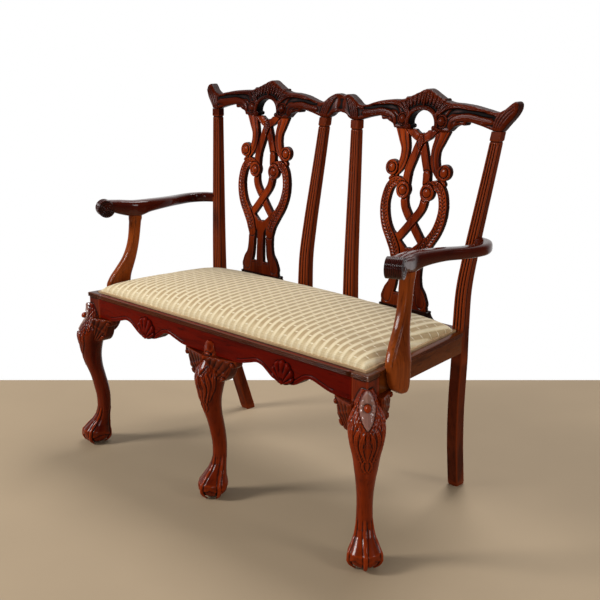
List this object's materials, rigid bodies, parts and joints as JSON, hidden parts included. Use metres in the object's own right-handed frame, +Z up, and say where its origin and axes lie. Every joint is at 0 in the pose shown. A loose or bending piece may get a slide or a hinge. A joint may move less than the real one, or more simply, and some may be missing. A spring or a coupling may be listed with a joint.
{
  "type": "settee",
  "caption": "Two-seat settee with a carved, pierced double chair back, scrolled open arms, cabriole front legs on ball-and-claw feet and a striped drop-in seat.",
  "frame": {"origin": "centre of the settee's bounding box in plan, on the floor", "axes": "+X to the right as seen from the front, +Y from the front to the back, +Z up"},
  "size_m": [1.1148, 0.5586, 1.0129],
  "materials": {
    "mahogany": "polished",
    "mahogany_dark": "polished",
    "beech": "unfinished",
    "striped_fabric": "woven, cream and tan stripes",
    "linen": "matte",
    "jute": "matte",
    "cambric": "matte",
    "steel": "plain"
  },
  "bodies": {
    "frame": {"front_leg_right": "mahogany", "front_leg_left": "mahogany", "knee_bracket_front_right": "mahogany", "knee_bracket_front_left": "mahogany", "knee_bracket_side_right": "mahogany", "knee_bracket_side_left": "mahogany", "front_leg_middle": "mahogany", "knee_bracket_middle_right": "mahogany", "knee_bracket_middle_left": "mahogany", "brace_rail": "beech", "corner_block_front_right": "beech", "corner_block_front_left": "beech", "corner_block_rear_right": "beech", "corner_block_rear_left": "beech", "corner_block_screw_front_right": "steel", "corner_block_screw_front_left": "steel", "corner_block_screw_rear_right": "steel", "corner_block_screw_rear_left": "steel", "middle_block_right": "beech", "middle_block_left": "beech", "arm_right": "mahogany", "arm_left": "mahogany", "arm_support_right": "mahogany", "arm_support_left": "mahogany", "arm_support_screw_front_right": "steel", "arm_support_screw_front_left": "steel", "arm_support_screw_rear_right": "steel", "arm_support_screw_rear_left": "steel", "front_rail": "mahogany", "side_rail_right": "mahogany", "side_rail_left": "mahogany", "rear_rail": "mahogany", "rear_post_right": "mahogany", "rear_post_left": "mahogany", "inner_stile_right": "mahogany", "inner_stile_left": "mahogany", "splat_right": "mahogany", "splat_left": "mahogany", "splat_shoe_right": "mahogany_dark", "splat_shoe_left": "mahogany_dark", "crest_rail": "mahogany"},
    "seat": {"seat_frame_front": "beech", "seat_frame_rear": "beech", "seat_frame_side_right": "beech", "seat_frame_side_left": "beech", "seat_frame_middle": "beech", "webbing_long_1": "jute", "webbing_long_2": "jute", "webbing_long_3": "jute", "webbing_cross_1": "jute", "webbing_cross_2": "jute", "webbing_cross_3": "jute", "webbing_cross_4": "jute", "webbing_cross_5": "jute", "dust_cloth": "cambric", "base_cloth": "linen", "seat_stuffing": "linen", "seat_cover": "striped_fabric"}
  },
  "joints": [
    {"name": "seat_lift", "type": "slide", "parent": "frame", "child": "seat", "axis": [0, 0, 1], "range_m": [0, 0.1]}
  ]
}
